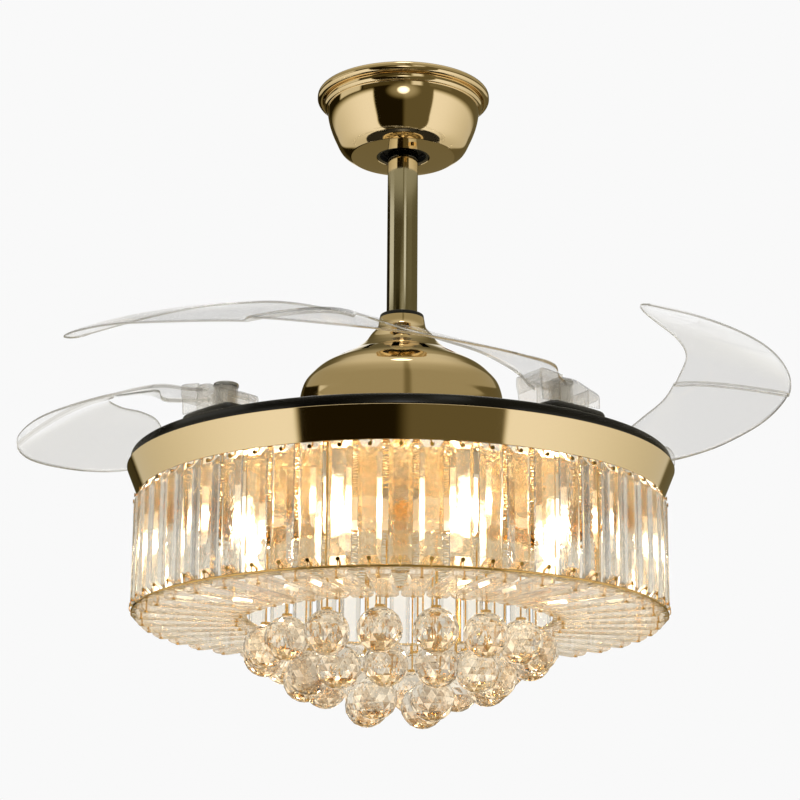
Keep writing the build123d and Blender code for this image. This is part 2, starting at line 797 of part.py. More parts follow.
def bulbs():
    high = disc_plane - pan_depth - pan_thickness - holder_height
    bulb = cylinder(bulb_radius, high - bulb_length + bulb_radius, high, lamp_circle)
    bulb += Pos(lamp_circle, 0, high - bulb_length + bulb_radius) * Sphere(bulb_radius)
    return group(around(bulb, lamp_count, lamp_first_angle))


# Glass bars: a flat bar standing on its end along +Z with bevelled long edges and ends
def glass_bar(length, thickness):
    half_width = bar_width / 2
    half_depth = thickness / 2
    flat = half_width - 2 * bar_bevel
    edge = half_depth / 3
    outline = Polyline((-half_depth, -flat), (-half_depth, flat), (-edge, half_width), (edge, half_width),
                       (half_depth, flat), (half_depth, -flat), (edge, -half_width), (-edge, -half_width), close=True)
    bar = extrude(make_face(outline), length)
    for end in (0, length):
        inward = 1 if end == 0 else -1
        lean = math.degrees(math.atan2(half_depth, bar_end_bevel))
        cutter = Box(thickness, 2 * bar_width, 2 * bar_end_bevel, align=(Align.MIN, Align.CENTER, Align.CENTER))
        bar -= Pos(half_depth / 2, 0, end) * Rot(0, -inward * lean, 0) * cutter
    hole = Rot(0, 90, 0) * Cylinder(bar_hole_radius, 2 * thickness)
    bar -= Pos(0, 0, bar_hole_inset) * hole
    return bar - Pos(0, 0, length - bar_hole_inset) * hole


def drum_bars():
    low = disc_plane - drum_top_depth - bar_length
    bar = Pos(drum_inner_radius + bar_thickness / 2, 0, low) * glass_bar(bar_length, bar_thickness)
    return group(around(bar, drum_count))


def post_circle_holes(low, high):
    return around(cylinder(post_radius + running_gap, low, high, post_circle), post_count, post_first_angle)


def upper_ring():
    high = disc_plane - drum_top_depth + ring_thickness
    ring = tube(drum_inner_radius, ring_inner_radius, high - ring_thickness, high)
    for hole in post_circle_holes(high - ring_thickness, high):
        ring -= hole
    return ring


def lower_ring():
    high = disc_plane - lower_ring_depth
    ring = tube(ring_outer_radius, ring_inner_radius, high - ring_thickness, high)
    for hole in spoke_holes(spoke_outer_hole_circle, high - ring_thickness, high):
        ring -= hole
    return ring


def drum_links():
    top_ring = disc_plane - drum_top_depth
    low_ring = disc_plane - lower_ring_depth
    upper_hole = top_ring - bar_hole_inset
    lower_hole = top_ring - bar_length + bar_hole_inset
    leg_radius = drum_inner_radius - 2 * link_radius
    reach = drum_inner_radius + bar_thickness - leg_radius
    arm = Rot(0, 90, 0) * Cylinder(link_radius, reach + link_radius, align=base_align)
    head = Pos(reach, 0, 0) * Rot(0, 90, 0) * Cylinder(link_head_radius, link_head_height, align=base_align)
    links = []
    for hole_height, ring_height in ((upper_hole, top_ring), (lower_hole, low_ring)):
        low = min(hole_height, ring_height)
        high = max(hole_height, ring_height)
        leg = cylinder(link_radius, low, high, leg_radius)
        links.extend(around(leg + Pos(leg_radius, 0, hole_height) * (arm + head), drum_count))
    return group(links)


def ring_posts():
    post = cylinder(post_radius, disc_plane - lower_ring_depth, disc_plane - pan_depth - pan_thickness, post_circle)
    return group(around(post, post_count, post_first_angle))


def spoke_holes(circle, low, high):
    return around(cylinder(link_radius + running_gap, low, high, circle), spoke_count)


def spoke_bars():
    high = disc_plane - lower_ring_depth - ring_thickness - spoke_drop
    bar = Rot(0, 90, 0) * glass_bar(spoke_length, spoke_thickness)
    bar = Pos(spoke_outer_radius - spoke_length, 0, high - spoke_thickness / 2) * bar
    return group(around(bar, spoke_count))


def spoke_links():
    high = disc_plane - lower_ring_depth
    low = high - ring_thickness - spoke_drop - spoke_thickness
    links = []
    for circle in (spoke_inner_hole_circle, spoke_outer_hole_circle):
        link = cylinder(link_radius, low, high, circle)
        link += cylinder(link_head_radius, low - link_head_height, low, circle)
        links.extend(around(link, spoke_count))
    return group(links)


def inner_ring():
    high = disc_plane - lower_ring_depth
    ring = tube(inner_ring_outer_radius, inner_ring_inner_radius, high - ring_thickness, high)
    for hole in spoke_holes(spoke_inner_hole_circle, high - ring_thickness, high):
        ring -= hole
    return ring


def ring_straps():
    low = disc_plane - lower_ring_depth
    inner = inner_ring_inner_radius + strap_thickness
    outer = post_circle - post_radius - seat_gap
    strap = Pos(inner, 0, low) * Box(outer - inner, strap_width, strap_thickness,
                                     align=(Align.MIN, Align.CENTER, Align.MIN))
    strap -= cylinder(link_head_radius, low, low + strap_thickness, spoke_inner_hole_circle)
    return group(around(strap, strap_count, post_first_angle))


# Plate, hangers and glass balls
def centre_stem():
    return cylinder(stem_radius, disc_plane - plate_depth, disc_plane - shaft_foot_depth)


def ball_plate():
    high = disc_plane - plate_depth
    plate = cylinder(plate_radius, high - plate_thickness, high)
    return fillet(plate.edges().filter_by(GeomType.CIRCLE).group_by(Axis.Z)[0], plate_thickness / 2)


def plate_nut():
    high = disc_plane - plate_depth - plate_thickness
    nut = cylinder(plate_nut_radius, high - plate_nut_height, high)
    return fillet(nut.edges().filter_by(GeomType.CIRCLE).group_by(Axis.Z)[0], plate_nut_height / 2)


def faceted_ball():
    rings = []
    for latitude in crystal_latitude_angles:
        ring_radius = crystal_radius * math.cos(math.radians(latitude))
        height = crystal_radius * math.sin(math.radians(latitude))
        rings.append([polar(ring_radius, 360 * i / crystal_sides, height) for i in range(crystal_sides)])
    faces = [Face(Wire.make_polygon(rings[0], close=True)), Face(Wire.make_polygon(rings[-1], close=True))]
    for lower, upper in zip(rings, rings[1:]):
        for i in range(crystal_sides):
            j = (i + 1) % crystal_sides
            faces.append(Face(Wire.make_polygon([lower[i], lower[j], upper[j], upper[i]], close=True)))
    return Solid(Shell(faces))


def row_balls(ball, row):
    count, circle, depth, first_angle = row
    return group(around(Pos(circle, 0, disc_plane - depth) * ball, count, first_angle))


def ball_hangers():
    hangers = []
    high = disc_plane - plate_depth - plate_thickness
    flat = crystal_radius * math.sin(math.radians(crystal_latitude_angles[-1]))
    for count, circle, depth, first_angle in ball_rows.values():
        low = disc_plane - depth + flat
        hanger = cylinder(hanger_radius, low, high, circle)
        hanger += cylinder(hanger_cap_radius, low, low + hanger_cap_height, circle)
        hangers.extend(around(hanger, count, first_angle))
    return group(hangers)


blade = blade_shape()
for index in range(blade_count):
    save("blade_" + str(index + 1), placed_blade(blade, index))

ball = faceted_ball()
for name, row in ball_rows.items():
    save(name + "_crystal_balls", row_balls(ball, row))

makers = [hanger_bracket, ball_seat, canopy_rim, canopy, canopy_screws, receiver_box, hanger_ball, ball_pin,
          downrod, rod_collar, rod_coupling, coupling_bolt, motor_cover, motor_shaft, stator_core,
          stator_windings, bearing_inner_rings, bearing_outer_rings, bearing_balls, rotor_lower_shell,
          rotor_upper_shell, rotor_screws, magnet_ring, blade_disc, disc_screws, pivot_bases, pivot_pins,
          pivot_bushes, blade_springs, blade_stops, light_pan, shaft_nuts, trim_band, led_driver,
          lamp_holders, bulbs, drum_bars, upper_ring, lower_ring, drum_links, ring_posts, spoke_bars,
          spoke_links, inner_ring, ring_straps, centre_stem, ball_plate, plate_nut, ball_hangers]
for maker in makers:
    save(maker.__name__, maker())
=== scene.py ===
import bmesh
import bpy
import math
import numpy as np
from mathutils import Matrix


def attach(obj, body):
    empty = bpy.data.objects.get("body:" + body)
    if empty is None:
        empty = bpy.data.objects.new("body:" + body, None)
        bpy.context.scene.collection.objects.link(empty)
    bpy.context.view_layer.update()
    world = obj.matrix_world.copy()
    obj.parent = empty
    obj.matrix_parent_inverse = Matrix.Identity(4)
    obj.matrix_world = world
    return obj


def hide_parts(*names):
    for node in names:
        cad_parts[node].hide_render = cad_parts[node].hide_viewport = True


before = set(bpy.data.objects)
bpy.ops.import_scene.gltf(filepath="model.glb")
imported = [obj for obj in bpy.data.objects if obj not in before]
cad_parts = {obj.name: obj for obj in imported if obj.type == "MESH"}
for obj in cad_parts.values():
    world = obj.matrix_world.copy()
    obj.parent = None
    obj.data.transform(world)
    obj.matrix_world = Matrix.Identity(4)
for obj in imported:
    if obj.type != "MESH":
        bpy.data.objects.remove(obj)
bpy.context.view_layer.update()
scene = bpy.context.scene
scene.view_settings.view_transform = "Standard"

discPlane = -0.376  # height of the blade disc's underside: heights are in metres from the ceiling


def linear(hexColour):
    parts = [int(hexColour[i:i + 2], 16) / 255 for i in (1, 3, 5)]
    return tuple(c / 12.92 if c <= 0.04045 else ((c + 0.055) / 1.055) ** 2.4 for c in parts) + (1.0,)


def addNode(tree, kind, links=None, **settings):
    node = tree.nodes.new(kind)
    for name, value in settings.items():
        setattr(node, name, value)
    for key, value in (links or {}).items():
        if isinstance(value, bpy.types.NodeSocket):
            tree.links.new(value, node.inputs[key])
        else:
            node.inputs[key].default_value = value
    return node


def mathOut(tree, operation, a, b=0.0):
    return addNode(tree, "ShaderNodeMath", {0: a, 1: b}, operation=operation).outputs[0]


def product(tree, a, b):
    return mathOut(tree, "MULTIPLY", a, b)


def ramp(tree, value, low, high, start=0.0, end=1.0):
    return addNode(tree, "ShaderNodeMapRange", {"Value": value, "From Min": low, "From Max": high,
                                                "To Min": start, "To Max": end},
                   interpolation_type="SMOOTHSTEP").outputs[0]


def strip(tree, value, first, full, fall, last, power=1.0):
    # 0 up to the first value, full power from the second to the third, 0 again from the last one on
    return product(tree, ramp(tree, value, first, full), ramp(tree, value, fall, last, power, 0.0))


# Studio, which only reflections see. Angles are in degrees: turn goes round Z from the front, aside is the
# same without its sign, rise is the height over the horizon. A ramp is (from, to, value before, value after)
studio = {
    "boxAside": (43.0, 47.0, 143.0, 149.0),  # two tall soft boxes, dimmer towards the back
    "boxRise": (-64.0, -54.0, 4.0, 15.0),
    "boxFall": (50.0, 146.0, 1.0, 0.62),
    "gap": (-3.0, 5.0, 0.012, 0.13),  # dark gap in front, lighter on the right
    "upperRise": (21.2, 22.4, 0.0, 0.37),  # grey above, with a dark upright seam
    "upperAside": (143.0, 151.0, 1.0, 0.3),
    "seamTurn": 7.0,
    "seamReach": (1.0, 7.0, 0.5, 1.0),
    "topRise": (34.0, 70.0, 0.0, 0.3),
    "rearFaint": (146.0, 152.0, 0.0, 0.055),  # faint light behind round a bright core
    "rearCore": (168.0, 175.0),
    "rearLow": (-13.0, -3.0, 0.17, 0.95),
    "rearHigh": (24.0, 38.0, 1.0, 0.0),
    "below": (-66.0, -52.0, 0.35, 0.0),
    "lowRise": (13.0, 16.0, 21.4, 22.4),  # low strips that the rod reflects, each ends with its power
    "lowTurns": ((-112.0, -106.0, -70.0, -64.0, 0.72), (8.0, 16.0, 24.0, 32.0, 0.85),
                 (30.0, 42.0, 72.0, 92.0, 0.17), (-66.0, -60.0, 150.0, 170.0, 0.07)),
    # round lights: (rise of the middle, half width, half height, power)
    "rounds": ((4.0, 9.0, 7.0, 2.4), (4.0, 24.0, 14.0, 0.3), (72.0, 24.0, 5.5, 7.0)),
    "roundEdge": (0.05, 1.4),
    "greenPower": 1.08,  # dim light is golden brown, full light is white
    "bluePower": 1.42,
    "backdrop": "#F9F9F9",
    "behindGlass": "#F4F2EC",  # light that comes through glass is mostly this colour
    "glassShare": 0.72,
}


def makeWorld():
    world = bpy.data.worlds.new("studio")
    scene.world = world
    world.use_nodes = True
    tree = world.node_tree
    tree.nodes.clear()
    degrees = 180 / math.pi
    direction = addNode(tree, "ShaderNodeTexCoord").outputs["Generated"]
    parts = addNode(tree, "ShaderNodeSeparateXYZ", {0: direction}).outputs
    turn = product(tree, mathOut(tree, "ARCTAN2", parts[0], product(tree, parts[1], -1.0)), degrees)
    aside = mathOut(tree, "ABSOLUTE", turn)
    rise = product(tree, mathOut(tree, "ARCSINE", parts[2]), degrees)
    box = product(tree, strip(tree, aside, *studio["boxAside"]), strip(tree, rise, *studio["boxRise"]))
    box = product(tree, box, ramp(tree, aside, *studio["boxFall"]))
    seam = mathOut(tree, "ABSOLUTE", mathOut(tree, "SUBTRACT", turn, studio["seamTurn"]))
    upper = product(tree, ramp(tree, rise, *studio["upperRise"]), ramp(tree, aside, *studio["upperAside"]))
    upper = product(tree, upper, ramp(tree, seam, *studio["seamReach"]))
    upper = mathOut(tree, "ADD", upper, ramp(tree, rise, *studio["topRise"]))
    core = ramp(tree, aside, *studio["rearCore"])
    rear = mathOut(tree, "ADD", ramp(tree, aside, *studio["rearFaint"]), core)
    rearRise = product(tree, ramp(tree, rise, *studio["rearLow"]), ramp(tree, rise, *studio["rearHigh"]))
    light = box
    for other in (product(tree, rear, rearRise), upper, ramp(tree, rise, *studio["below"]),
                  ramp(tree, turn, *studio["gap"])):
        light = mathOut(tree, "MAXIMUM", light, other)
    low = strip(tree, rise, *studio["lowRise"])
    for turns in studio["lowTurns"]:
        light = mathOut(tree, "MAXIMUM", light, product(tree, strip(tree, turn, *turns), low))
    # round lights in front fall off with (aside / half width)^2 + (rise from the middle / half height)^2
    for middle, width, height, power in studio["rounds"]:
        across = product(tree, aside, 1 / width)
        along = product(tree, mathOut(tree, "SUBTRACT", rise, middle), 1 / height)
        away = mathOut(tree, "ADD", product(tree, across, across), product(tree, along, along))
        light = mathOut(tree, "ADD", light, ramp(tree, away, *studio["roundEdge"], power, 0.0))
    # each channel is the level raised to its own power
    level = mathOut(tree, "MINIMUM", light, 1.0)
    green = mathOut(tree, "POWER", level, studio["greenPower"])
    blue = mathOut(tree, "POWER", level, studio["bluePower"])
    shade = addNode(tree, "ShaderNodeCombineColor", {0: level, 1: green, 2: blue}).outputs[0]
    strength = mathOut(tree, "MAXIMUM", light, 1.0)
    reflected = addNode(tree, "ShaderNodeBackground", {"Color": shade, "Strength": strength}).outputs[0]
    seen, through = [addNode(tree, "ShaderNodeBackground", {"Color": linear(studio[key])}).outputs[0]
                     for key in ("backdrop", "behindGlass")]
    path = addNode(tree, "ShaderNodeLightPath").outputs
    passed = product(tree, mathOut(tree, "MINIMUM", path["Transmission Depth"], 1.0), studio["glassShare"])
    inside = addNode(tree, "ShaderNodeMixShader", {0: passed, 1: reflected, 2: through}).outputs[0]
    both = addNode(tree, "ShaderNodeMixShader", {0: path["Is Camera Ray"], 1: inside, 2: seen}).outputs[0]
    addNode(tree, "ShaderNodeOutputWorld", {0: both})


def makeSurface(name, colour, roughness, grain=None, bump=None, cells=None, spread=(), sockets=None):
    # grain = (scale, least and most roughness), bump = waves and cells = hammered dimples, each (scale, depth
    # in metres), spread = rows of (attribute of the piece, socket, value at 0, value at 1)
    surface = bpy.data.materials.new(name)
    surface.use_nodes = True
    tree = surface.node_tree
    tree.nodes.clear()
    place = addNode(tree, "ShaderNodeTexCoord").outputs["Object"]
    values = {"Base Color": linear(colour), "Roughness": roughness}
    values.update(sockets or {})
    shader = addNode(tree, "ShaderNodeBsdfPrincipled", values)
    if grain:
        scale, least, most = grain
        cloud = addNode(tree, "ShaderNodeTexNoise", {"Vector": place, "Scale": scale, "Detail": 3.0}).outputs
        rough = addNode(tree, "ShaderNodeMapRange", {"Value": cloud[0], "To Min": least, "To Max": most})
        tree.links.new(rough.outputs[0], shader.inputs["Roughness"])
    if bump:
        scale, depth = bump
        waves = addNode(tree, "ShaderNodeTexNoise", {"Vector": place, "Scale": scale, "Detail": 2.0}).outputs
    elif cells:
        scale, depth = cells
        waves = addNode(tree, "ShaderNodeTexVoronoi", {"Vector": place, "Scale": scale}).outputs
    if bump or cells:
        relief = addNode(tree, "ShaderNodeBump", {"Height": waves[0], "Distance": depth, "Strength": 1.0})
        tree.links.new(relief.outputs[0], shader.inputs["Normal"])
    for attribute, socket, low, high in spread:
        share = addNode(tree, "ShaderNodeAttribute", attribute_name=attribute).outputs["Fac"]
        if isinstance(low, str):
            mixed = addNode(tree, "ShaderNodeMix", {0: share, 6: linear(low), 7: linear(high)},
                            data_type="RGBA").outputs[2]
        else:
            mixed = addNode(tree, "ShaderNodeMapRange", {"Value": share, "To Min": low,
                                                         "To Max": high}).outputs[0]
        tree.links.new(mixed, shader.inputs[socket])
    addNode(tree, "ShaderNodeOutputMaterial", {0: shader.outputs[0]})
    return surface


metal = {"Metallic": 1.0}
clear = {"Transmission Weight": 1.0}
surfaces = {
    "gold": makeSurface("polished gold-plated steel", "#ECD3A4", 0.05, (60.0, 0.04, 0.085), (18.0, 0.00003),
                        sockets=metal),
    "gold_trim": makeSurface("polished brass wire and strip", "#E6C07A", 0.12, (90.0, 0.08, 0.18),
                             sockets=metal),
    "rod": makeSurface("pale gold-plated rod", "#D9CFB2", 0.09, (70.0, 0.07, 0.13), sockets=metal),
    "satin_gold": makeSurface("hammered gold-plated steel", "#F7E3BC", 0.1, (70.0, 0.06, 0.14),
                              cells=(150.0, 0.006), sockets=metal),
    "steel": makeSurface("zinc-plated steel", "#B9BABD", 0.3, (80.0, 0.22, 0.38), sockets=metal),
    "motor_steel": makeSurface("laminated electrical steel", "#77787B", 0.42, (120.0, 0.35, 0.5),
                               sockets=metal),
    "copper": makeSurface("enamelled copper wire", "#B5652F", 0.28, (150.0, 0.2, 0.36), sockets=metal),
    "black_enamel": makeSurface("gloss black enamel", "#121112", 0.2, (40.0, 0.14, 0.22), (30.0, 0.00002)),
    "black_rubber": makeSurface("matt black rubber", "#1D1D1E", 0.7, (60.0, 0.62, 0.8)),
    "black_nylon": makeSurface("moulded black nylon", "#202022", 0.5, (60.0, 0.42, 0.58)),
    "white_plastic": makeSurface("moulded white plastic", "#E6E4DE", 0.4, (50.0, 0.35, 0.48)),
    "white_ceramic": makeSurface("glazed white ceramic", "#EDEAE2", 0.18, (50.0, 0.14, 0.24)),
    # painted grey shade: the rim attribute greys the clear acrylic and makes it less see-through along the
    # blade edges, the fold and the root
    "clear_acrylic": makeSurface("clear moulded acrylic", "#FAF5EC", 0.0, bump=(9.0, 0.0001),
                                 spread=[("rim", "Base Color", "#FBF6EE", "#A09D97"),
                                         ("rim", "Alpha", 0.2, 0.95)],
                                 sockets={**clear, "IOR": 1.49}),
    "cut_glass": makeSurface("cut crystal glass", "#FFFBF2", 0.0, bump=(260.0, 0.00012),
                             sockets={**clear, "IOR": 1.52, "Alpha": 0.78}),
    # painted glow: a faint champagne emission brightens the spoke bars, which are no lamps
    "spoke_glass": makeSurface("cut champagne crystal glass with painted glow", "#FFF6E8", 0.0,
                               sockets={**clear, "IOR": 1.52, "Alpha": 0.7, "Emission Strength": 0.05,
                                        "Emission Color": linear("#FFDDB4")}),
    # painted reflections and glints: per-facet attributes darken single facets towards gold-brown and make
    # others glow
    "ball_glass": makeSurface("faceted champagne crystal glass", "#FFF3DC", 0.0,
                              spread=[("facet", "Base Color", "#FFFAF0", "#A88148"),
                                      ("paintedGlint", "Emission Strength", 0.0, 0.6)],
                              sockets={**clear, "IOR": 1.54, "Emission Color": linear("#FFEBCB")}),
    "lamp_glass": makeSurface("lit lamp capsule", "#FFF1D8", 0.3,
                              sockets={"Emission Color": linear("#FFE9C6")}),
}

# The lamps glow hottest round the filament: the strength falls with the height away from its middle
glow = {"middle": -0.440, "reach": 0.014, "core": 60.0, "end": 2.5}


def lightCore(surface):
    tree = surface.node_tree
    place = addNode(tree, "ShaderNodeTexCoord").outputs["Object"]
    height = addNode(tree, "ShaderNodeSeparateXYZ", {0: place}).outputs[2]
    away = mathOut(tree, "ABSOLUTE", mathOut(tree, "SUBTRACT", height, glow["middle"]))
    strength = ramp(tree, away, 0.0, glow["reach"], glow["core"], glow["end"])
    tree.links.new(strength, tree.nodes["Principled BSDF"].inputs["Emission Strength"])


lightCore(surfaces["lamp_glass"])
mergeReach = 1e-7  # points closer than this become one


def addPiece(name, verts, faces, surface, body, replaces=(), sharp=32.0, flat=False, rim=None):
    mesh = bpy.data.meshes.new(name)
    mesh.from_pydata(np.asarray(verts, float).reshape(-1, 3).tolist(), [], [list(map(int, f)) for f in faces])
    if rim is not None:
        mesh.attributes.new("rim", "FLOAT", "POINT").data.foreach_set("value", np.asarray(rim, np.float32))
    work = bmesh.new()
    work.from_mesh(mesh)
    bmesh.ops.remove_doubles(work, verts=work.verts, dist=mergeReach)
    bmesh.ops.recalc_face_normals(work, faces=work.faces)
    work.to_mesh(mesh)
    work.free()
    if not flat:
        mesh.shade_smooth()
        mesh.set_sharp_from_angle(angle=math.radians(sharp))
    mesh.materials.append(surfaces[surface])
    piece = bpy.data.objects.new(name, mesh)
    scene.collection.objects.link(piece)
    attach(piece, body)
    if replaces:
        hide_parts(*replaces)
    return piece


def gridFaces(rows, columns, wrapRows=False, wrapColumns=False):
    i = np.arange(rows if wrapRows else rows - 1)[:, None]
    j = np.arange(columns if wrapColumns else columns - 1)[None, :]
    ahead, right = (i + 1) % rows, (j + 1) % columns
    quads = np.stack([i * columns + j, ahead * columns + j, ahead * columns + right, i * columns + right], -1)
    return quads.reshape(-1, 4)


def hermite(points, places, startSlope=None, endSlope=None):
    # cubic through the points, slopes by distance-weighted differences, places counted in points
    p = np.asarray(points, float)
    h = np.maximum(np.linalg.norm(np.diff(p, axis=0), axis=1), 1e-9)[:, None]
    d = np.diff(p, axis=0) / h
    slope = np.vstack([d[:1], (d[:-1] * h[1:] + d[1:] * h[:-1]) / (h[1:] + h[:-1]), d[-1:]])
    if startSlope is not None:
        slope[0] = np.array(startSlope, float) / np.linalg.norm(startSlope)
    if endSlope is not None:
        slope[-1] = np.array(endSlope, float) / np.linalg.norm(endSlope)
    k = np.clip(np.floor(places).astype(int), 0, len(p) - 2)
    t = (places - k)[..., None]
    a, b, span = p[k], p[k + 1], h[k]
    return ((2 * t ** 3 - 3 * t ** 2 + 1) * a + (t ** 3 - 2 * t ** 2 + t) * span * slope[k]
            + (3 * t ** 2 - 2 * t ** 3) * b + (t ** 3 - t ** 2) * span * slope[k + 1])


def softened(points, steps=5):
    # a point (r, z, cut) with a cut becomes a quadratic curve between its two cut points
    result = []
    count = len(points)
    for index, point in enumerate(points):
        here = np.array(point[:2], float)
        cut = point[2] if len(point) > 2 else 0.0
        if not cut:
            result.append(here)
            continue
        before = np.array(points[(index - 1) % count][:2], float) - here
        after = np.array(points[(index + 1) % count][:2], float) - here
        start = here + before / np.linalg.norm(before) * cut
        end = here + after / np.linalg.norm(after) * cut
        t = np.linspace(0, 1, steps + 1)[:, None]
        result.extend((1 - t) ** 2 * start + 2 * t * (1 - t) * here + t ** 2 * end)
    return np.array(result)


def inMetres(points, height=0.0):
    # an outline in mm, (radius, height, cut) a point, set on a height in metres
    return [(p[0] / 1000, p[1] / 1000 + height) + tuple(cut / 1000 for cut in p[2:]) for p in points]


def turned(profile, segments):
    # closed outline turned round Z: x = r cos(turn), y = r sin(turn)
    r, z = np.asarray(profile, float).T
    turn = np.linspace(0, 2 * math.pi, segments, endpoint=False)[:, None]
    verts = np.stack([r * np.cos(turn), r * np.sin(turn), z + 0 * turn], -1)
    return verts.reshape(-1, 3), gridFaces(segments, len(r), True, True)


def copied(verts, faces, places):
    # places = list of 4x4 matrices
    v = np.asarray(verts, float).reshape(-1, 3)
    allVerts = [v @ m[:3, :3].T + m[:3, 3] for m in places]
    allFaces = []
    for index in range(len(places)):
        allFaces.extend([[n + index * len(v) for n in face] for face in faces])
    return np.vstack(allVerts), allFaces


def turnedTo(angle, move=(0, 0, 0)):
    # turn about Z after the move, angle in degrees
    c, s = math.cos(math.radians(angle)), math.sin(math.radians(angle))
    m = np.eye(4)
    m[:2, :2] = [[c, -s], [s, c]]
    m[:3, 3] = m[:3, :3] @ np.array(move, float)
    return m


def around(count, move, first=0.0):
    # as many places, evenly turned about Z from the first angle in degrees
    return [turnedTo(first + 360 * i / count, move) for i in range(count)]


def shell(outer, inner, kept, wrap):
    # two facing grids, joined by walls round every opening and edge
    rows, cols = outer.shape[:2]
    count = rows * cols
    i, j = np.nonzero(kept)
    ahead = (i + 1) % rows
    a, b, c, d = i * cols + j, ahead * cols + j, ahead * cols + j + 1, i * cols + j + 1
    quads = [np.stack([a, b, c, d], -1), np.stack([a, d, c, b], -1) + count]
    padded = np.zeros((kept.shape[0], cols + 1), bool)
    padded[:, 1:-1] = kept
    i, j = np.nonzero(padded[:, 1:] ^ padded[:, :-1])
    a, b = i * cols + j, ((i + 1) % rows) * cols + j
    quads.append(np.stack([a, b, b + count, a + count], -1))
    if wrap:
        change = kept ^ np.roll(kept, 1, axis=0)
    else:
        padded = np.zeros((kept.shape[0] + 2, cols - 1), bool)
        padded[1:-1] = kept
        change = padded[1:] ^ padded[:-1]
    i, j = np.nonzero(change)
    a = i * cols + j
    quads.append(np.stack([a, a + 1, a + 1 + count, a + count], -1))
    return np.vstack([outer.reshape(-1, 3), inner.reshape(-1, 3)]), np.vstack(quads)


# Canopy: rim with a rolled edge and a groove, then the bowl. Outlines are in mm from the ceiling
canopy = {
    "segments": 320,
    "rim": [(76.1, 0), (80.6, 0, 1.2), (82.3, -2.2, 1.6), (82.3, -7.2, 2.0), (80.0, -9.0, 1.5),
            (77.6, -9.0, 0.6), (76.1, -7.9, 0.4)],
    "lip": [(75.9, 0), (75.9, -13.6, 1.4), (74.4, -15.6, 0.8), (72.9, -15.9, 0.3)],
    "side": [(72.5, -16.2), (64.4, -47), (58.2, -58.1), (49.6, -64.2)],
    "sideRows": 40,
    "sideSlopes": ((0, -1), (-1, -0.55)),
    "base": [(49.1, -64.3), (25.6, -64.3), (25.0, -63.9), (25.0, -63.3), (48.9, -63.1)],
    "inside": [(71.4, -14.6), (74.7, -12.6), (74.7, 0)],
    "wall": (0.0012, -0.0006),
}


def addCanopy():
    verts, faces = turned(softened(inMetres(canopy["rim"])), canopy["segments"])
    addPiece("canopyRim", verts, faces, "gold", "ceiling_mount", ["canopy_rim"])
    places = np.linspace(0, len(canopy["side"]) - 1, canopy["sideRows"])
    side = hermite(inMetres(canopy["side"]), places, *canopy["sideSlopes"])
    inner = side - np.array(canopy["wall"])
    profile = np.vstack([softened(inMetres(canopy["lip"])), side, inMetres(canopy["base"]), inner[::-1],
                         inMetres(canopy["inside"])])
    verts, faces = turned(profile, canopy["segments"])
    addPiece("canopyBowl", verts, faces, "gold", "ceiling_mount", ["canopy"])


# Downrod, and the black ring at its foot. Outlines are in mm from the ceiling
rod = {
    "segments": 160,
    "tube": [(14.4, -22.0, 0.6), (14.4, -258.0, 0.4), (12.4, -258.0), (12.4, -22.0)],
    "ringSegments": 200,
    "ring": [(14.46, -226.0), (20.9, -226.0, 0.9), (20.3, -222.4, 0.9), (17.5, -222.0, 0.5), (14.46, -222.0)],
}


def addRod():
    verts, faces = turned(softened(inMetres(rod["tube"])), rod["segments"])
    addPiece("rodTube", verts, faces, "rod", "hanging_frame", ["downrod"])
    verts, faces = turned(softened(inMetres(rod["ring"])), rod["ringSegments"])
    addPiece("rodRing", verts, faces, "black_enamel", "hanging_frame", ["rod_collar"])


# Bell-shaped motor cover: neck, vented shoulder, rounded skirt. The profile is in mm over the disc plane,
# and ventRows are the places along it, in points, between which the vents are open
cover = {
    "profile": [(20.9, 149.9), (22.9, 141.0), (28.6, 134.0), (33.6, 127.0), (39.5, 121.4), (44.6, 117.6),
                (50.5, 113.6), (58.0, 109.6), (67.0, 104.6), (78.2, 97.6), (84.6, 91.4), (90.0, 84.6),
                (93.0, 76.0), (94.7, 62.0), (96.3, 40.0), (98.0, 14.0)],
    "slopes": ((0.25, -1), (0.06, -1)),
    "rows": 151,
    "wall": 0.0012,
    "leastWall": 0.0004,
    "vents": 15,
    "stepsPerVent": 32,
    "ventRows": (6.47, 8.22),
    "ventHalf": 0.0032,
    "firstVent": 1.0,
}


def addCover():
    points = inMetres(cover["profile"], discPlane)
    ventFirst, ventLast = cover["ventRows"]
    rows = np.unique(np.append(np.linspace(0, len(points) - 1, cover["rows"]), cover["ventRows"]))
    curve = hermite(points, rows, *cover["slopes"])
    tangent = np.gradient(curve, axis=0)
    normal = np.stack([-tangent[:, 1], tangent[:, 0]], -1)
    normal /= np.linalg.norm(normal, axis=1)[:, None]
    inner = curve - normal * cover["wall"]
    inner[:, 0] = np.minimum(inner[:, 0], curve[:, 0] - cover["leastWall"])
    turns = cover["vents"] * cover["stepsPerVent"]
    turn = np.radians(cover["firstVent"] + np.arange(turns) * 360 / turns)
    # a cell is open where it lies in a vent: near enough to the vent's middle line
    kept = np.ones((turns, len(rows) - 1), bool)
    middle = (rows[:-1] + rows[1:]) / 2
    radius = (curve[:-1, 0] + curve[1:, 0]) / 2
    pitch = 360 / cover["vents"]
    offset = (np.arange(turns) + 0.5) * 360 / turns
    offset = (offset + pitch / 2) % pitch - pitch / 2
    reach = np.abs(np.radians(offset))[:, None] * radius[None, :]
    kept[(reach < cover["ventHalf"]) & (middle > ventFirst) & (middle < ventLast)] = False

    def spin(line):
        return np.stack([line[:, 0] * np.cos(turn)[:, None], line[:, 0] * np.sin(turn)[:, None],
                         line[:, 1] + 0 * turn[:, None]], -1)
    verts, faces = shell(spin(curve), spin(inner), kept, True)
    addPiece("bellCover", verts, faces, "gold", "hanging_frame", ["motor_cover"])


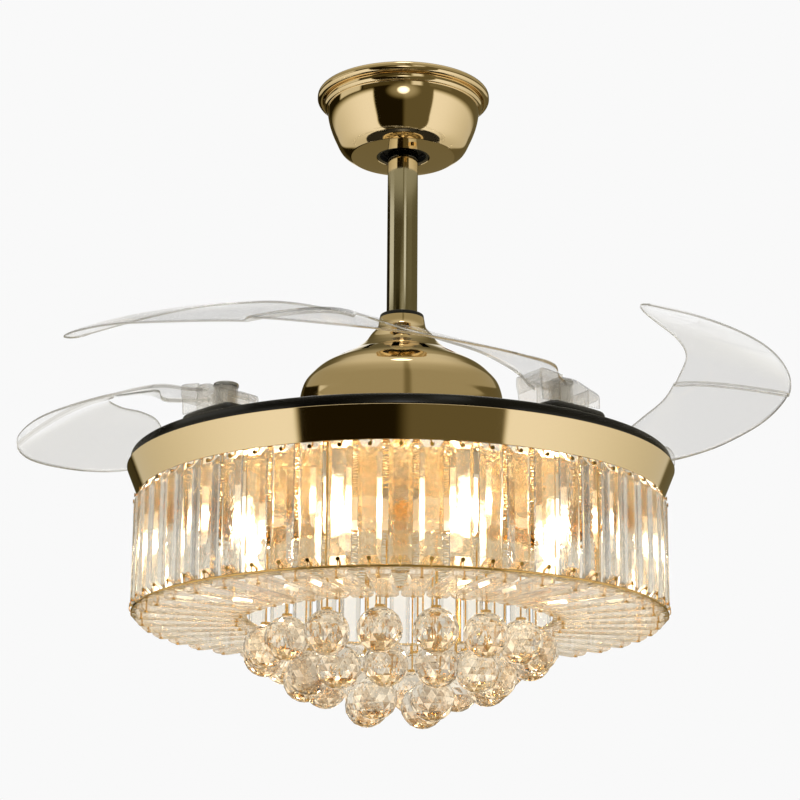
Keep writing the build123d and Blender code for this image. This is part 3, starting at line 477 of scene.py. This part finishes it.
# Blade disc and the trim band under it. Outlines are in mm from the disc plane
disc = {
    "segments": 400,
    "plate": [(14.0, 10.8), (242.5, 10.8, 0.8), (247.0, 9.2, 1.4), (247.0, 1.2, 0.6), (244.7, 1.2, 0.4),
              (244.7, 8.1), (14.0, 8.3)],
    "bandSegments": 480,
    "band": [(250.0, -0.4), (239.7, -25.7), (239.2, -27.2), (238.2, -27.4), (237.7, -26.3), (238.4, -25.1),
             (248.2, -0.4), (248.4, 0), (249.7, 0)],
}


def addDisc():
    verts, faces = turned(softened(inMetres(disc["plate"], discPlane)), disc["segments"])
    addPiece("bladeDisc", verts, faces, "black_enamel", "rotor", ["blade_disc"])
    verts, faces = turned(inMetres(disc["band"], discPlane), disc["bandSegments"])
    addPiece("trimBand", verts, faces, "gold", "hanging_frame", ["trim_band"])


# Blades: the stations run from the root's far end, along the sweep, to the tip. An edge has an angle in
# degrees, a reach as a share of the sweep outside the pivot's circle, and a height in mm over the disc plane
blade = {
    "count": 4,
    "firstTurn": -48.0,
    "restTurns": (-9.9, -5.9, -5.9, 1.0),
    "pivotRadius": 204.6,
    "sweep": 190.6,
    "outerAngles": (8.0, 17.6, 27.2, 36.8, 46.4, 56.0, 65.6, 73.9, 80.3, 85.6, 89.6),
    "outerReachShares": (0.233, 0.404, 0.533, 0.653, 0.775, 0.898, 0.989, 1.029, 1.017, 0.964, 0.840),
    "outerHeights": (44.0, 41.0, 41.0, 43.0, 44.7, 48.3, 51.4, 56.6, 61.2, 67.0, 76.2),
    "innerAngles": (14.0, 21.8, 31.1, 41.0, 50.1, 58.0, 66.0, 73.0, 79.1, 84.7, 88.8),
    "innerReachShares": (0.134, 0.131, 0.180, 0.277, 0.359, 0.434, 0.461, 0.462, 0.502, 0.610, 0.770),
    "innerHeights": (40.0, 56.0, 64.0, 72.0, 84.0, 90.3, 94.1, 98.1, 98.5, 93.0, 82.0),
    "thickness": (5.4, 3.6, 3.0, 2.8, 2.8, 2.8, 2.8, 2.8, 2.8, 2.6, 2.2),
    # heel stations inside the root: inner x, y, height, outer x, y, height, thickness, in mm
    "heel": [(197.0, -22.0, 39.0, 224.0, -8.0, 39.5, 5.0), (207.0, -37.0, 39.3, 231.0, -20.0, 41.5, 5.0)],
    "halfColumns": 13,
    "rowsBefore": 72,
    "rowsAfter": 76,
    "foldFirst": 5.6,  # the fold starts here at the inner edge, in stations, and slants outwards
    "foldSlant": 1.4,
    "foldHalf": 0.02,
    "foldShoulder": 0.05,
    "foldDrop": 0.0019,
    "foldRise": 0.0011,
    "foldFade": 1.5,
    "tipLength": 0.35,
    "tipLeast": 0.0004,
    "camber": 0.0035,
    "camberFirst": 3.0,
    "camberFade": 2.0,
    "edgeWidth": 0.02,
    "edgeShare": 0.45,
    # painted grey shade, as rim values, beside the edges and at the fold
    "besideEdgePaintedShade": 0.5,
    "foldPaintedShade": 0.55,
}


def bladeStations():
    rows = [list(row) for row in blade["heel"]]
    edges = [zip(blade[side + "Angles"], blade[side + "ReachShares"], blade[side + "Heights"])
             for side in ("inner", "outer")]
    for inner, outer, thickness in zip(*edges, blade["thickness"]):
        row = []
        for angle, reach, height in (inner, outer):
            radius, turn = blade["pivotRadius"] + blade["sweep"] * reach, math.radians(-angle)
            row += [radius * math.cos(turn), radius * math.sin(turn), height]
        rows.append(row + [thickness])
    return np.array(rows) / 1000


def bladeMesh():
    stations = bladeStations()
    last = len(stations) - 1
    across = 1 - np.cos(np.linspace(0, math.pi / 2, blade["halfColumns"]))
    across = np.concatenate([across / 2, 1 - across[-2::-1] / 2])[None, :]
    fold = blade["foldFirst"] + blade["foldSlant"] * across
    shoulder, half = blade["foldShoulder"], blade["foldHalf"]
    before = np.linspace(0, 1, blade["rowsBefore"])[:, None] * (fold - shoulder)
    after = fold + shoulder + np.linspace(0, 1, blade["rowsAfter"])[:, None] * (last - fold - shoulder)
    place = np.vstack([before, fold - half, fold + half, after])
    line = hermite(stations, np.clip(place, 0, last - 1e-9))
    # the tip is rounded: the two edges draw together along a quarter of an ellipse
    tip = np.clip((place - last + blade["tipLength"]) / blade["tipLength"], 0, 1)
    share = 0.5 + (across - 0.5) * np.sqrt(np.clip(1 - tip ** 2, blade["tipLeast"], 1))
    middle = line[..., 0:3] * (1 - share[..., None]) + line[..., 3:6] * share[..., None]
    # the panel is cambered by 4 a (1 - a), and steps at the fold, which fades out to both sides
    fade = blade["camberFade"]
    panel = np.clip((place - blade["camberFirst"]) / fade, 0, 1) * np.clip((last - place) / fade, 0, 1)
    middle[..., 2] += blade["camber"] * panel * 4 * across * (1 - across)
    away = place - fold
    step = np.where(away > 0, -blade["foldDrop"], blade["foldRise"])
    middle[..., 2] += step * np.exp(-(away / blade["foldFade"]) ** 2)
    # rounded edges: the half thickness falls to its edge share at the rim
    inwards = np.clip(np.minimum(across, 1 - across) / blade["edgeWidth"], 0, 1)
    half = line[..., 6] / 2 * (blade["edgeShare"] + (1 - blade["edgeShare"]) * inwards)
    middle[..., 2] += discPlane
    top, bottom = middle.copy(), middle.copy()
    top[..., 2] += half
    bottom[..., 2] -= half
    verts, faces = shell(top, bottom, np.ones((place.shape[0] - 1, place.shape[1] - 1), bool), False)
    # rim attribute for painted grey shade: 1 along the edges and the tip, about half at the fold
    rim = np.zeros(place.shape)
    rim[:, [1, -2]] = blade["besideEdgePaintedShade"]
    rim[blade["rowsBefore"]:blade["rowsBefore"] + 2, 1:-1] = blade["foldPaintedShade"]
    rim[:, [0, -1]] = 1.0
    rim[-1] = 1.0
    return verts, faces, np.concatenate([rim.ravel(), rim.ravel()])


# Root: a hood open below, higher towards the blade, level round the pin's head, its nose lifted. An outline
# point is (y, height, cut) in mm, then the way, in y and in height, that the inner face lies from the outer
root = {
    "low": 0.0222,
    "wall": 0.0024,
    "outline": [(26.0, 0, 0, -1, 0), (26.0, 11.5, 3.0, -1, -1), (0, 22.0, 6.0, 0, -1),
                (-12.9, 22.0, 0, -1, -1), (-13.1, 24.2, 0, -1, -1), (-30.0, 27.0, 2.0, 1, -1),
                (-36.0, 27.0, 2.0, 1, -1), (-36.0, 18.0, 1.5, 1, 1), (-34.5, 13.0, 2.0, 1, 1),
                (-33.0, 0, 0, 1, 0)],
    "outlineSteps": 6,
    "cheeks": (0.1890, 0.2260),
    "roof": (0.1912, 0.2238),
    # painted grey shade, as rim values: roof, hub, and the edge rings of cheeks and ribs
    "roofPaintedShade": 0.12,
    "ribs": ((0.015, 0.0150), (-0.015, 0.0225)),  # (place along the root, height)
    "ribHalf": 0.0165,
    "ribWall": 0.0018,
    "ribMiddle": 0.2075,
    "hub": [(8.2, 0.2), (10.5, 0.2), (10.5, 22.0, 0.8), (8.2, 22.0, 0.4)],
    "hubSegments": 48,
    "hubPaintedShade": 0.2,
    "pivot": (0.2046, 0, 0),
    "edge": 0.0004,
    "edgePaintedShades": (0.06, 0.45, 0.45, 0.06),
}


def slab(outline, thickness, place):
    # closed plate: an outline in (y, z) made thick along x, with its edges drawn in, and rim values for
    # painted grey shade on its rings
    line = np.asarray(outline, float)
    centre = line.mean(axis=0)
    edge, half = root["edge"], thickness / 2
    drawn = centre + (line - centre) * (1 - edge / np.linalg.norm(line - centre, axis=1)[:, None])
    rings = [np.column_stack([np.full(len(line), x), ring]) for x, ring in
             ((-half, drawn), (-half + edge, line), (half - edge, line), (half, drawn))]
    count = len(line)
    faces = gridFaces(4, count, False, True).tolist()
    faces += [list(range(count)), list(range(3 * count, 4 * count))]
    return np.vstack(rings) @ place[:3, :3].T + place[:3, 3], faces, np.repeat(root["edgePaintedShades"], count)


def rootOutline(inset):
    low = discPlane + root["low"]
    return softened([(y / 1000 + toY * inset, low + z / 1000 + toZ * inset, cut / 1000)
                     for y, z, cut, toY, toZ in root["outline"]], root["outlineSteps"])


def bladeRoot():
    # two cheeks, a roof with its end walls, two ribs and the hub round the pivot bush
    wall, low = root["wall"], discPlane + root["low"]
    outer, inner = rootOutline(0), rootOutline(wall)
    near, far = root["cheeks"]
    parts = [slab(outer, wall, turnedTo(0, (x, 0, 0))) for x in (near + wall / 2, far - wall / 2)]
    roof = np.vstack([outer[1:-1], inner[-2:0:-1]])
    rings = np.stack([np.column_stack([np.full(len(roof), x), roof]) for x in root["roof"]])
    count = len(roof)
    strips = gridFaces(2, count, False, True).tolist()
    for base in (0, count):
        strips += [[base + i, base + i + 1, base + count - 2 - i, base + count - 1 - i]
                   for i in range(count // 2 - 1)]
    parts.append((rings.reshape(-1, 3), strips, np.full(2 * count, root["roofPaintedShade"])))
    half = root["ribHalf"]
    for side, high in root["ribs"]:
        rib = [(-half, low), (half, low), (half, low + high), (-half, low + high)]
        parts.append(slab(rib, root["ribWall"], turnedTo(90, (side, -root["ribMiddle"], 0))))
    verts, faces = turned(softened(inMetres(root["hub"], low)), root["hubSegments"])
    parts.append((verts + np.array(root["pivot"]), faces, np.full(len(verts), root["hubPaintedShade"])))
    allVerts, allFaces, start = [], [], 0
    for verts, faces, rim in parts:
        allVerts.append(verts)
        allFaces += [[n + start for n in face] for face in faces]
        start += len(verts)
    return np.vstack(allVerts), allFaces, np.concatenate([part[2] for part in parts])


def addBlades():
    verts, faces, rim = bladeMesh()
    rootVerts, rootFaces, rootRim = bladeRoot()
    faces = faces.tolist() + [[n + len(verts) for n in face] for face in rootFaces]
    verts, rim = np.vstack([verts, rootVerts]), np.concatenate([rim, rootRim])
    pivot = np.array(root["pivot"])
    for index, rest in enumerate(blade["restTurns"]):
        about = turnedTo(0, pivot) @ turnedTo(rest) @ turnedTo(0, -pivot)
        turn = blade["firstTurn"] + 360 / blade["count"] * index
        placed, allFaces = copied(verts, faces, [turnedTo(turn) @ about])
        name = "blade_" + str(index + 1)
        addPiece("clearBlade" + str(index + 1), placed, allFaces, "clear_acrylic", name, [name],
                 40.0, rim=rim)


# Crystal bars: flat back, bevelled front and bevelled ends, standing along +Z with the front towards +X.
# A bar's halves are half widths, and its depths are shares of its half thickness. Drops are below the disc
bar = {"half": 0.010, "endHalf": 0.0096, "backHalf": 0.0092, "backDepthShare": 0.75, "sideDepthShare": 0.1}
drum = {"count": 60, "radius": 0.236, "drop": 0.0276, "length": 0.104, "thickness": 0.0065,
        "endBevel": 0.007, "frontHalf": 0.006, "endDepthShare": -0.2}
spokes = {"count": 42, "radius": 0.237, "drop": 0.1376, "length": 0.094, "thickness": 0.006,
          "endBevel": 0.002, "frontHalf": 0.0075, "endDepthShare": 0.4}


def crystalBar(sizes):
    deep, length, bevel = sizes["thickness"] / 2, sizes["length"], sizes["endBevel"]
    half, back = bar["half"], -deep
    end = (bar["endHalf"], bar["endHalf"], sizes["endDepthShare"] * deep)
    body = (sizes["frontHalf"], bar["backHalf"], deep)
    rings = []
    for z, (frontHalf, backHalf, front) in ((0.0, end), (bevel, body), (length - bevel, body), (length, end)):
        side = min(front, bar["sideDepthShare"] * deep)
        heel = back * bar["backDepthShare"]
        rings.append([(back, -backHalf, z), (heel, -half, z), (side, -half, z), (front, -frontHalf, z),
                      (front, frontHalf, z), (side, half, z), (heel, half, z), (back, backHalf, z)])
    verts = np.array(rings).reshape(-1, 3)
    faces = gridFaces(4, 8, False, True).tolist()
    faces += [list(range(8)), list(range(24, 32))]
    return verts, faces


def addDrum():
    verts, faces = crystalBar(drum)
    place = (drum["radius"] + drum["thickness"] / 2, 0, discPlane - drum["drop"] - drum["length"])
    placed, allFaces = copied(verts, faces, around(drum["count"], place))
    addPiece("drumCrystals", placed, allFaces, "cut_glass", "hanging_frame", ["drum_bars"],
             flat=True)
    # spoke bars lie along +X with the bevelled front downwards
    x, y, z = crystalBar(spokes)[0].T
    place = (spokes["radius"] - spokes["length"], 0, discPlane - spokes["drop"])
    placed, allFaces = copied(np.column_stack([z, y, -x]), faces, around(spokes["count"], place))
    addPiece("spokeCrystals", placed, allFaces, "spoke_glass", "hanging_frame", ["spoke_bars"],
             flat=True)


# Knobs and hooks that hold the crystals, and the wire of the lower ring
trim = {
    "knob": [(0, 2.4), (1.4, 2.1, 0.5), (1.9, 0.9, 0.5), (1.1, 0), (0.8, -0.4)],
    "knobSegments": 10,
    "knobDrop": 0.0045,
    "knobOut": 0.0006,
    "hookReach": (0.0040, 0.0037),
    "hookWire": 0.0005,
    "hookSteps": (12, 5),
    "hookRise": 0.0013,
    "wireRadius": 0.2407,
    "wireHalf": 0.0011,
    "wireDrop": 0.1330,
    "wireSteps": (360, 10),
}


def addDrumTrim():
    middle = drum["radius"] + drum["thickness"] / 2
    r, z = softened(inMetres(trim["knob"]), 2).T
    turn = np.linspace(0, 2 * math.pi, trim["knobSegments"], endpoint=False)[:, None]
    verts = np.stack([z + 0 * turn, r * np.cos(turn), r * np.sin(turn)], -1).reshape(-1, 3)
    place = (middle + trim["knobOut"], 0, discPlane - drum["drop"] - trim["knobDrop"])
    placed, allFaces = copied(verts, gridFaces(trim["knobSegments"], len(r), True, False).tolist(),
                              around(drum["count"], place))
    addPiece("topKnobs", placed, allFaces, "gold_trim", "hanging_frame")
    # hook: a thin loop through each lower hole, (width cos t, 0, height sin t), round the ring's wire
    steps, tubeSteps = trim["hookSteps"]
    t = np.linspace(0, 2 * math.pi, steps, endpoint=False)
    width, height = trim["hookReach"]
    path = np.stack([width * np.cos(t), 0 * t, height * np.sin(t)], -1)
    across = np.stack([np.cos(t), 0 * t, np.sin(t)], -1)[:, None, :]
    tube = np.linspace(0, 2 * math.pi, tubeSteps, endpoint=False)[None, :, None]
    ring = np.cos(tube) * across + np.sin(tube) * np.array([0, 1.0, 0])
    verts = (path[:, None, :] + trim["hookWire"] * ring).reshape(-1, 3)
    place = (middle, 0, discPlane - drum["drop"] - drum["length"] + trim["hookRise"])
    placed, allFaces = copied(verts, gridFaces(steps, tubeSteps, True, True).tolist(),
                              around(drum["count"], place))
    addPiece("lowerHooks", placed, allFaces, "gold_trim", "hanging_frame")
    segments, wireSteps = trim["wireSteps"]
    t = np.linspace(0, 2 * math.pi, wireSteps, endpoint=False)
    half, low = trim["wireHalf"], discPlane - trim["wireDrop"]
    wire = np.stack([trim["wireRadius"] + half * np.cos(t), low + half * np.sin(t)], -1)
    verts, faces = turned(wire, segments)
    addPiece("lowerWire", verts, faces, "gold_trim", "hanging_frame")


# Faceted balls: staggered rings of points give three-sided facets. A row is (count, circle's radius, drop
# below the disc, first turn), and each facet draws its own painted reflection and painted glint, the ones
# that face down more get more of both
balls = {
    "radius": 0.02,
    "points": 16,
    "latitudes": (-74, -56, -37, -18, 0, 18, 37, 56, 74),
    "poleLatitude": 70,
    "poleShift": 0.25,
    "rows": {"outer": (16, 0.123, 0.1645, 14.5), "middle": (12, 0.086, 0.188, 22.0),
             "lower": (4, 0.036, 0.209, 54.0)},
    "seed": 7,
    "leastFall": 0.25,
    "paintedReflectionPower": 1.6,
    "paintedGlintFrom": 0.72,
}


def crystalBall():
    radius = balls["radius"]
    points = [(0, 0, -radius)]
    for number, latitude in enumerate(balls["latitudes"]):
        atPole = abs(latitude) > balls["poleLatitude"]
        count = balls["points"] // 2 if atPole else balls["points"]
        shift = balls["poleShift"] if atPole else 0.5 * (number % 2)
        flat, high = radius * math.cos(math.radians(latitude)), radius * math.sin(math.radians(latitude))
        for i in range(count):
            turn = 2 * math.pi * (i + shift) / count
            points.append((flat * math.cos(turn), flat * math.sin(turn), high))
    points.append((0, 0, radius))
    work = bmesh.new()
    for p in points:
        work.verts.new(p)
    bmesh.ops.convex_hull(work, input=work.verts)
    work.verts.index_update()
    faces = [[v.index for v in face.verts] for face in work.faces]
    verts = np.array([v.co[:] for v in work.verts])
    work.free()
    return verts, faces


def addBalls():
    chance = np.random.default_rng(balls["seed"])
    verts, faces = crystalBall()
    for name, (count, circle, drop, first) in balls["rows"].items():
        placed, allFaces = copied(verts, faces, around(count, (circle, 0, discPlane - drop), first))
        piece = addPiece(name + "Crystals", placed, allFaces, "ball_glass", "hanging_frame",
                         [name + "_crystal_balls"], flat=True)
        normals = np.zeros(len(piece.data.polygons) * 3)
        piece.data.polygons.foreach_get("normal", normals)
        # fall = least + (1 - least) (0.5 - normal's z), cut to between 0 and 1
        fall = balls["leastFall"] + (1 - balls["leastFall"]) * np.clip(0.5 - normals[2::3], 0, 1)
        # painted reflection and painted glint of each facet, at random, more on the facets that face down
        paintedReflection = chance.random(len(fall)) ** balls["paintedReflectionPower"] * fall
        start = balls["paintedGlintFrom"]
        paintedGlint = np.clip((chance.random(len(fall)) - start) / (1 - start), 0, 1) * fall
        for key, values in (("facet", paintedReflection), ("paintedGlint", paintedGlint)):
            attribute = piece.data.attributes.new(key, "FLOAT", "FACE")
            attribute.data.foreach_set("value", values.astype(np.float32))


print("studio")
makeWorld()
print("canopy and rod")
addCanopy()
addRod()
print("motor cover and disc")
addCover()
addDisc()
print("blades")
addBlades()
print("crystals")
addDrum()
addDrumTrim()
addBalls()

# Every CAD node takes the surface of its material slot, but the plates and rings in the lit drum are hammered
print("surfaces of the CAD nodes")
hammeredNodes = ("light_pan", "ball_plate", "lower_ring", "inner_ring", "ring_straps")
for name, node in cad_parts.items():
    for holder in node.material_slots:
        slotName = holder.material.name.split(".")[0] if holder.material else ""
        if name in hammeredNodes:
            slotName = "satin_gold"
        if slotName in surfaces:
            holder.material = surfaces[slotName]
        else:
            print("no slot for", name, slotName)

# Pale floor far below, out of the view of the photo. Sizes are in metres
floor = {"half": 9, "height": -1.6, "colour": "#EFEFEE", "roughness": 0.7, "grain": (4.0, 0.62, 0.78)}


def addFloor():
    half, height = floor["half"], floor["height"]
    mesh = bpy.data.meshes.new("floor")
    corners = [(-half, -half, height), (half, -half, height), (half, half, height), (-half, half, height)]
    mesh.from_pydata(corners, [], [(0, 1, 2, 3)])
    paint = makeSurface("pale painted floor", floor["colour"], floor["roughness"], floor["grain"])
    mesh.materials.append(paint)
    plate = bpy.data.objects.new("floor", mesh)
    scene.collection.objects.link(plate)
    plate.visible_glossy = False
    plate.visible_transmission = False
    plate.visible_diffuse = False


addFloor()

# Camera of the photo: place in metres, tilt from straight down and roll in degrees
view = {"lens": 105.07, "sensor": 36.0, "place": (-0.0012, -2.0855, -0.8814), "tilt": 105.4685, "roll": 0.4}
print("camera")
lens = bpy.data.cameras.new("view")
lens.lens = view["lens"]
lens.sensor_width = view["sensor"]
camera = bpy.data.objects.new("view", lens)
camera.location = view["place"]
turnUp = Matrix.Rotation(math.radians(view["tilt"]), 3, "X")
camera.rotation_euler = (turnUp @ Matrix.Rotation(math.radians(view["roll"]), 3, "Z")).to_euler()
scene.collection.objects.link(camera)
scene.camera = camera
